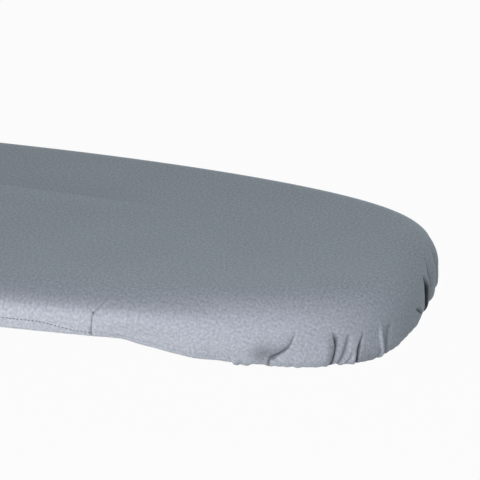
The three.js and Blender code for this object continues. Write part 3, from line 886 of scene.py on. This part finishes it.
def binding_section():
    """The strip's outer face down to its fold, and its inner face back up, with flat sewn edges."""
    bottom, outside, upper = TUNNEL + BINDING, TUNNEL_HALF + BINDING, -BINDING_LAP
    pressed = CLOTH / 2 - 0.15
    down = [
        (upper, pressed), (upper + 1, CLOTH / 2 + 0.06), (-4.6, 0.9), (-2.2, 1.3), (0, 1.6),
        (3, outside), (bottom - 1.2, outside - 0.1), (bottom - 0.25, outside - 0.7),
    ]
    inner = [
        (upper, pressed - 0.05), (upper + 1, pressed), (-4.6, 0.65), (-2.2, 0.75), (0, TUNNEL_HALF),
        (3, TUNNEL_HALF), (TUNNEL - 0.4, TUNNEL_HALF), (TUNNEL, TUNNEL_HALF - 0.4),
    ]
    far_down = [(t, -n) for t, n in down]
    far_inner = [(t, -n) for t, n in inner]
    return down + [(bottom, 0.0)] + far_down[::-1] + far_inner + [(TUNNEL + 0.05, 0.0)] + inner[::-1]


def elastic_section():
    """Corners of the elastic's section, round from its upper edge outside."""
    half = ELASTIC_THICKNESS / 2
    low, high = SEWN_GAP, SEWN_GAP + ELASTIC_WIDTH
    outside = [
        (low, half - ELASTIC_EDGE), (low + ELASTIC_BEVEL, half),
        (high - ELASTIC_BEVEL, half), (high, half - ELASTIC_EDGE),
    ]
    return outside + [(t, -n) for t, n in outside[::-1]]


def stitch_mesh(starts, ends, normals, radius):
    """Short rounded threads from starts to ends."""
    points, faces = [], []
    for a, b, n in zip(starts, ends, normals):
        along = b - a
        side = unit(np.cross(along, n))
        faces += tube_faces(len(points), len(STITCH_PROFILE), STITCH_SIDES)
        for t, size in STITCH_PROFILE:
            for k in range(STITCH_SIDES):
                angle = 2 * math.pi * k / STITCH_SIDES
                out = side * math.cos(angle) + n * math.sin(angle)
                points.append(a + along * t + radius * size * out)
    return points, faces


def stitch_height(s):
    """How far past the cut edge the seam runs: behind each nose seam it climbs to the strip's upper edge."""
    climb = between(np.abs(s), (NOSE_SEAM, NOSE_SEAM + SEAM_RUN), (TAIL_SEAM - SEAM_RUN, TAIL_SEAM))
    return SEAM_LOW - SEAM_CLIMB * climb


def seam_points(s, n):
    at, normal = by_the_hem(s, stitch_height(s))
    return at + normal * n


def hem_stitches(s, face):
    """Stitches at the places s on the outer or inner face of the strip, given by its sign."""
    levels, rises = [SEAM_LOW - SEAM_CLIMB, SEAM_LOW], [SEAM_TOP_RISE, TUNNEL_HALF + BINDING]
    rise = np.interp(stitch_height(s), levels, rises) + STITCH_RADIUS * STITCH_SUNK
    level = face * rise[:, None]
    a = seam_points(s - STITCH_LENGTH / 2, level)
    b = seam_points(s + STITCH_LENGTH / 2, level)
    return stitch_mesh(a, b, seam_points(s, level) - seam_points(s, level - face), STITCH_RADIUS)


# first and last place of each length of the hem, and the step between its points
lengths = {
    "nose": (-NOSE_SEAM, NOSE_SEAM, 1.2),
    "near_side": (NOSE_SEAM, TAIL_SEAM, 3.0),
    "tail": (TAIL_SEAM, -TAIL_SEAM, 2.2),
    "far_side": (-TAIL_SEAM, -NOSE_SEAM, 3.0),
}


def on_the_hem(piece, node=None):
    belongs(piece, "cover", node)


corners = binding_section()
across = running_length(np.array(corners))
for name, (start, end, step) in lengths.items():
    piece = hem_strip(f"{name}_hem", hem_stations(start, end, step), corners, across, 8, hem_look)
    on_the_hem(piece, f"{name}_binding")

for name, (start, end, _) in lengths.items():
    s = hem_stations(start + STITCH_MARGIN, end - STITCH_MARGIN, STITCH_PITCH)
    points, faces = joined([hem_stitches(s, face) for face in (1, -1)])
    look = dark_thread if "side" in name else pale_thread
    on_the_hem(new_object(f"{name}_hem_stitches", points, faces, look))

corners = elastic_section()
across = np.array([t for t, _ in corners])
for name in ("nose", "tail"):
    s = hem_stations(*lengths[name][:2], ELASTIC_STEP)
    piece = hem_strip(f"{name}_elastic_band", s, corners, across, 2, elastic_look)
    on_the_hem(piece, f"{name}_elastic")

# Pads

ROLL_SLOPE = math.tan(math.pi / (4 * ROLL_STEPS))
TOP_INSET = CLOTH / 2 + ROLL_RADIUS + PAD_EASE
PAD_INSET = TOP_INSET - (FOAM - PAD_EDGE) / ROLL_SLOPE
PAD_COLUMNS = 360


def pad(name, profile, material, unevenness, pitch):
    """A flat pad with the outline drawn in, from the middle of its top round to the middle of its underside.

    The profile gives (inset, share of the way from there to the spine, height)."""
    s = np.linspace(-HALF, HALF, PAD_COLUMNS, endpoint=False)
    x, y, ox, oy = station(s)
    bottom = profile[-1][2]
    rings = []
    for inset, share, z in profile:
        edge = np.stack([x - ox * inset, y - oy * inset], 1)
        flat = edge + (spine_of(edge) - edge) * share
        wobble = np.sin(flat[:, 0] / pitch + 0.7) * np.sin(flat[:, 1] / pitch * 1.3 + 1.9)
        level = z + unevenness * (wobble - 1) * (z > bottom + 1e-6)
        rings.append(np.column_stack([flat, level]))
    faces = ring_faces(0, len(rings), PAD_COLUMNS)
    last = (len(rings) - 1) * PAD_COLUMNS
    for first, flip in ((0, True), (last, False)):
        for i in range(PAD_COLUMNS // 2):
            corners = (i, i + 1, PAD_COLUMNS - i - 1, (PAD_COLUMNS - i) % PAD_COLUMNS)
            face = list(dict.fromkeys(first + corner for corner in corners))
            if len(face) > 2:
                faces.append(face[::-1] if flip else face)
    return new_object(name, np.vstack(rings), faces, material)


foam_profile = [(TOP_INSET, share, FOAM_TOP) for share in (0.5, 0.3, 0.15, 0.04)]
foam_profile += [
    (TOP_INSET + 2, 0, FOAM_TOP - 0.02),
    (TOP_INSET - 2, 0, FOAM_TOP - 0.65),
    (PAD_INSET + 1.6, 0, FOAM_BOTTOM + PAD_EDGE + 0.3),
    (PAD_INSET + 0.4, 0, FOAM_BOTTOM + PAD_EDGE - 0.3),
    (PAD_INSET, 0, FOAM_BOTTOM + 0.7),
    (PAD_INSET + 0.5, 0, FOAM_BOTTOM + 0.1),
    (PAD_INSET + 1.2, 0, FOAM_BOTTOM),
]
foam_profile += [(PAD_INSET + 2, share, FOAM_BOTTOM) for share in (0.1, 0.5)]
foam = pad("foam_layer", foam_profile, foam_look, 0.06, 37)
belongs(foam, "cover", "foam_pad")

felt_profile = [(PAD_INSET + 2, share, FELT) for share in (0.5, 0.1)]
felt_profile += [
    (PAD_INSET + 1.4, 0, FELT),
    (PAD_INSET + 0.4, 0, FELT - 0.35),
    (PAD_INSET, 0, FELT - 1.2),
    (PAD_INSET, 0, 1.2),
    (PAD_INSET + 0.4, 0, 0.35),
    (PAD_INSET + 1.4, 0, 0),
]
felt_profile += [(PAD_INSET + 2, share, 0) for share in (0.1, 0.5)]
felt = pad("felt_layer", felt_profile, felt_look, 0.05, 23)
belongs(felt, "cover", "felt_underlay")

# Straps

SEWN_END = COVER_WIDTH / 2 - HEM_INSET - SEWN_GAP
FREE_END = STRAP_OVERLAP / 2
HOOK_BOTTOM = STRAP_THICKNESS + SEWN_GAP
LOOP_BOTTOM = HOOK_BOTTOM + HOOK_THICKNESS + SEWN_GAP
FAR_BOTTOM = LOOP_BOTTOM + LOOP_THICKNESS + SEWN_GAP
LAP_HEIGHT = FAR_BOTTOM / 2
NEAR_BOTTOM = -LAP_HEIGHT - STRAP_THICKNESS / 2
STRAP_TILT = -math.atan(LAP_HEIGHT / SEWN_END)
STRAP_EDGE, PATCH_EDGE = 0.45, 0.2
PLATE_STEP, PLATE_ROWS, PLATE_CORNER_STEPS, PLATE_FLAT, PLATE_LEAST = 3.0, 12, 9, 0.86, 0.4
HOOK_BASE, HOOK_PITCH, HOOK_MARGIN, HOOK_TAPER = 0.62, 1.5, 2.0, 0.12
HOOK_SECTION = [(0.16, 0.12), (-0.16, 0.12), (-0.16, -0.12), (0.16, -0.12)]
HOOK_STEM = [(0.0, 0.0), (0.0, 0.3), (0.12, 0.46), (0.34, 0.5), (0.48, 0.38)]
LOOP_BASE, LOOP_PITCH, LOOP_MARGIN, LOOP_STEPS, LOOP_SUNK = 0.5, 2.1, 2.2, 7, 0.05
LOOP_REACH, LOOP_HEIGHT, LOOP_RADIUS, LOOP_SIDES = 0.75, 0.42, 0.1, 4
SEAM_START, SEAM_SPARE, SEAM_PITCH, SEAM_LENGTH, SEAM_RADIUS = 0.6, 2.4, 3.0, 2.1, 0.24
PATCH_SEAM_INSET, CROSS_SEAM_HALF, CROSS_SEAMS = 1.3, 15, (2, 7)
patch_half = FREE_END - PATCH_MARGIN
patch_width = STRAP_WIDTH - 2 * PATCH_MARGIN
strap_places = {
    "front": STRAIGHT_START - STRAP_INSET,
    "middle": (STRAIGHT_START + STRAIGHT_END) / 2,
    "rear": STRAIGHT_END + STRAP_INSET,
}


def strap_place(points, x, level):
    """From a strap's own flat frame to the cover's, with the strap at x and the piece at a level on it."""
    c, s = math.cos(STRAP_TILT), math.sin(STRAP_TILT)
    y, z = points[:, 1], points[:, 2] + NEAR_BOTTOM + level
    return np.stack([points[:, 0] + x, y * c - z * s, y * s + z * c + LIP], 1)


def half_width(y, width, start, end, start_corner, end_corner):
    """Half the width of a plate at y, rounded at its corners."""
    w = np.full(y.shape, width / 2)
    for edge, corner in ((start, start_corner), (end, end_corner)):
        if corner > 0:
            far = np.clip(corner - np.abs(y - edge), 0, corner)
            rounded = width / 2 - corner + np.sqrt(corner ** 2 - far ** 2)
            w = np.where(np.abs(y - edge) < corner, rounded, w)
    return w


def plate(width, start, end, start_corner, end_corner, thickness, edge_round):
    """A closed strip of webbing or tape with soft edges, as a grid of rings, and its flat coordinates."""
    bend = 1 - np.cos(np.linspace(0, math.pi / 2, PLATE_CORNER_STEPS))
    found = [np.arange(start, end, PLATE_STEP), [end]]
    for edge, corner in ((start, start_corner), (end, -end_corner)):
        if corner:
            found.append(edge + corner * bend)
    ys = np.unique(np.concatenate(found))
    reach = np.maximum(half_width(ys, width, start, end, start_corner, end_corner), PLATE_LEAST)
    across = np.linspace(-1, 1, PLATE_ROWS)
    drop = edge_round * np.clip((np.abs(across) - PLATE_FLAT) / (1 - PLATE_FLAT), 0, 1) ** 2
    ring_x = np.concatenate([across, across[::-1]])
    ring_z = np.concatenate([thickness - drop, drop[::-1]])
    xs = np.outer(reach, ring_x)
    points = np.stack([xs, np.repeat(ys[:, None], len(ring_x), 1), np.repeat(ring_z[None], len(ys), 0)], -1)
    faces = strip_faces(len(ys), len(ring_x))
    return points.reshape(-1, 3), faces, points[..., :2].reshape(-1, 2)


def patch(thickness):
    """Points and faces of the bare tape of a patch."""
    made = plate(patch_width, -patch_half, patch_half, PATCH_CORNER, PATCH_CORNER, thickness, PATCH_EDGE)
    return made[:2]


def hook_pile():
    """Small bent hooks in rows on the tape, each row turned against the next."""
    points, faces = [], []
    right, top = patch_width / 2 - HOOK_MARGIN, patch_half - HOOK_MARGIN
    for row, x in enumerate(np.arange(-right, right + 0.1, HOOK_PITCH)):
        turn = 1 if row % 2 else -1
        for y in np.arange(-top, top + 0.1, HOOK_PITCH):
            faces += tube_faces(len(points), len(HOOK_STEM), len(HOOK_SECTION))
            for r, (lean, height) in enumerate(HOOK_STEM):
                size = 1 - HOOK_TAPER * r
                for a, b in HOOK_SECTION:
                    points.append((x + a * size, y + turn * lean + b * size, HOOK_BASE + height))
    return points, faces


def loop_pile():
    """Small thread loops standing on the tape, turned at random."""
    turns = np.random.default_rng(11)
    points, faces = [], []
    right, top = patch_width / 2, patch_half
    for x in np.arange(-right + LOOP_MARGIN, right - 2, LOOP_PITCH):
        for y in np.arange(-top + LOOP_MARGIN, top - 2, LOOP_PITCH):
            angle = turns.uniform(0, math.pi)
            cx, cy = x + turns.uniform(-0.5, 0.5), y + turns.uniform(-0.5, 0.5)
            foot = np.array([cx, cy, LOOP_BASE - LOOP_SUNK])
            size = turns.uniform(0.7, 1.0)
            along = np.array([math.cos(angle), math.sin(angle), 0])
            side = np.array([-along[1], along[0], 0])
            faces += tube_faces(len(points), LOOP_STEPS, LOOP_SIDES)
            for r in range(LOOP_STEPS):
                a = math.pi * r / (LOOP_STEPS - 1)
                centre = foot + along * math.cos(a) * LOOP_REACH * size
                centre[2] += math.sin(a) * LOOP_HEIGHT * size
                up = along * math.cos(a) + np.array([0, 0, 1]) * math.sin(a)
                for k in range(LOOP_SIDES):
                    b = 2 * math.pi * (k + 0.5) / LOOP_SIDES
                    points.append(centre + LOOP_RADIUS * (side * math.cos(b) + up * math.sin(b)))
    return points, faces


def edge_stitches(path, level, face):
    """Stitches along a run of flat points, on the face given by its sign."""
    run = np.array(path, float)
    length = running_length(run)
    at = np.arange(SEAM_START, length[-1] - SEAM_SPARE, SEAM_PITCH)

    def place(d):
        flat = [np.interp(d, length, run[:, axis]) for axis in (0, 1)]
        return np.column_stack([*flat, np.full(len(d), level)])

    up = np.tile([0, 0, float(face)], (len(at), 1))
    return stitch_mesh(place(at), place(at + SEAM_LENGTH), up, SEAM_RADIUS)


def strap_seams(end, level, face):
    """The seam round a patch, and the seams across the webbing at its sewn end."""
    x, y = patch_width / 2 - PATCH_SEAM_INSET, patch_half - PATCH_SEAM_INSET
    seams = [edge_stitches([(-x, -y), (x, -y), (x, y), (-x, y), (-x, -y)], level, face)]
    for inset in CROSS_SEAMS:
        across = end - math.copysign(inset, end)
        seams.append(edge_stitches([(-CROSS_SEAM_HALF, across), (CROSS_SEAM_HALF, across)], 0.0, -1))
    return joined(seams)


near_strap = plate(STRAP_WIDTH, -SEWN_END, FREE_END, 0, STRAP_CORNER, STRAP_THICKNESS, STRAP_EDGE)
far_strap = plate(STRAP_WIDTH, -FREE_END, SEWN_END, STRAP_CORNER, 0, STRAP_THICKNESS, STRAP_EDGE)
hooks = joined([patch(HOOK_BASE), hook_pile()])
loop_points, loop_faces = joined([patch(LOOP_BASE), loop_pile()])
turned_over = loop_points * np.array([1, 1, -1]) + np.array([0, 0, LOOP_THICKNESS])
loops = (turned_over, [face[::-1] for face in loop_faces])
near_seams = strap_seams(-SEWN_END, 0.0, -1)
far_seams = strap_seams(SEWN_END, STRAP_THICKNESS, 1)
# name, half, mesh, level, look, slot and CAD node of each piece of a strap
strap_pieces = [
    ("near_webbing", "near", near_strap, 0, webbing_look, "strap_webbing", "strap_near"),
    ("far_webbing", "far", far_strap, FAR_BOTTOM, webbing_look, "strap_webbing", "strap_far"),
    ("hook_tape", "near", hooks, HOOK_BOTTOM, hook_look, "hook_tape", "hook_patch"),
    ("loop_tape", "far", loops, LOOP_BOTTOM, loop_look, "loop_tape", "loop_patch"),
    ("near_stitches", "near", near_seams, 0, dark_thread, "strap_webbing", None),
    ("far_stitches", "far", far_seams, FAR_BOTTOM, dark_thread, "strap_webbing", None),
]
for strap, x in strap_places.items():
    for name, half, (points, faces, *flat), level, look, slot, node in strap_pieces:
        piece = new_object(f"{strap}_{name}", strap_place(points, x, level), faces, look)
        if flat:
            add_uv(piece, flat[0])
        belongs(piece, f"{strap}_{half}_half", node and f"{strap}_{node}")

# Stage: floor, world, lamps and camera

FLOOR_LEVEL, FLOOR_SIZE, FLOOR_GREY, FLOOR_GLOW = -900.0, 30000.0, 0.8, 0.95
WHITE = (1, 1, 1)


def background_rays(tree):
    """The rays that see the plain white background: from the camera, through glass and off a glossy face."""
    path = tree.node("ShaderNodeLightPath").outputs
    found = tree.math("MAXIMUM", path["Is Camera Ray"], path["Is Transmission Ray"])
    return tree.math("MAXIMUM", found, path["Is Glossy Ray"])


def floor_material():
    """Nearly white to the rays that see the background, grey to the others, and clear from below."""
    material = bpy.data.materials.new("floor")
    tree = Tree(material, clear=True)
    diffuse = tree.node("ShaderNodeBsdfDiffuse", {"Color": (FLOOR_GREY, FLOOR_GREY, FLOOR_GREY)})
    glow = tree.node("ShaderNodeEmission", {"Color": WHITE, "Strength": 1.0})
    shown = tree.blend(tree.math("MULTIPLY", background_rays(tree), FLOOR_GLOW), diffuse, glow)
    from_camera = tree.node("ShaderNodeLightPath").outputs["Is Camera Ray"]
    from_below = tree.node("ShaderNodeNewGeometry").outputs["Backfacing"]
    hidden = tree.math("MULTIPLY", from_camera, from_below)
    final = tree.blend(hidden, shown, tree.node("ShaderNodeBsdfTransparent"))
    tree.node("ShaderNodeOutputMaterial", {"Surface": final.outputs[0]})
    return material


corner_signs = [(-1, -1), (1, -1), (1, 1), (-1, 1)]
floor_points = [(FLOOR_SIZE * x, FLOOR_SIZE * y, FLOOR_LEVEL) for x, y in corner_signs]
floor = new_object("floor", floor_points, [[0, 1, 2, 3]], floor_material(), smooth_shaded=False)

# The world's own light comes from behind; its colour and strength
BACK_COLOR, FRONT_LIGHT, BACK_LIGHT = (0.91, 0.99, 1.0), 0.0, 1.78
world = bpy.data.worlds.new("studio")
bpy.context.scene.world = world
sky = Tree(world, clear=True)
depth = sky.axes(sky.node("ShaderNodeTexCoord").outputs["Generated"])["Y"]
strength = sky.mapped(depth, 0.0, 1.0, FRONT_LIGHT, BACK_LIGHT, "SMOOTHSTEP")
ambient = sky.node("ShaderNodeBackground", {"Color": BACK_COLOR, "Strength": strength})
backdrop = sky.node("ShaderNodeBackground", {"Color": WHITE, "Strength": 1.0})
shown_sky = sky.blend(background_rays(sky), ambient, backdrop)
sky.node("ShaderNodeOutputWorld", {"Surface": shown_sky.outputs[0]})


def stand(name, data, target, distance, azimuth, elevation):
    """Put a lamp or camera so that it looks at a target; azimuth 0 is in front of the near side."""
    a, e = math.radians(azimuth), math.radians(elevation)
    away = Vector((math.sin(a) * math.cos(e), -math.cos(a) * math.cos(e), math.sin(e)))
    obj = bpy.data.objects.new(name, data)
    obj.location = Vector(target) + away * distance
    obj.rotation_mode = "QUATERNION"
    obj.rotation_quaternion = (-away).to_track_quat("-Z", "Y")
    bpy.context.scene.collection.objects.link(obj)
    return obj


LAMP_WIDTH, LAMP_HEIGHT = 0.6, 0.4
NOSE_PLACE, SIDE_PLACE = (0.4, -0.15, -0.02), (0.0, -0.2, -0.03)


def soft_lamp(name, target, distance, azimuth, elevation, power, color):
    """A rectangular lamp that looks at a place on the cover."""
    lamp = bpy.data.lights.new(name, "AREA")
    lamp.shape = "RECTANGLE"
    lamp.size, lamp.size_y = LAMP_WIDTH, LAMP_HEIGHT
    lamp.energy, lamp.color = power, color
    stand(name, lamp, target, distance, azimuth, elevation).visible_camera = False


soft_lamp("nose_softbox", NOSE_PLACE, 1.0, 12, 16, 9.2, (1.0, 0.93, 0.98))
soft_lamp("high_softbox", NOSE_PLACE, 1.0, 30, 28, 1.3, (1.0, 0.93, 0.98))
soft_lamp("low_softbox", SIDE_PLACE, 0.8, -15, -28, 7.8, (1.0, 0.9, 0.87))

CAMERA_TARGET, CAMERA_DISTANCE = (0.41745, -0.02475, 0.0098), 2.2
CAMERA_AZIMUTH, CAMERA_ELEVATION = 18.139, 21.787
CAMERA_LENS, CAMERA_SENSOR, CAMERA_NEAR, CAMERA_FAR = 152.46, 36.0, 0.05, 100.0
lens = bpy.data.cameras.new("camera")
lens.lens, lens.sensor_width = CAMERA_LENS, CAMERA_SENSOR
lens.clip_start, lens.clip_end = CAMERA_NEAR, CAMERA_FAR
camera = stand("camera", lens, CAMERA_TARGET, CAMERA_DISTANCE, CAMERA_AZIMUTH, CAMERA_ELEVATION)
bpy.context.scene.camera = camera

bpy.context.scene.view_settings.view_transform = "Standard"
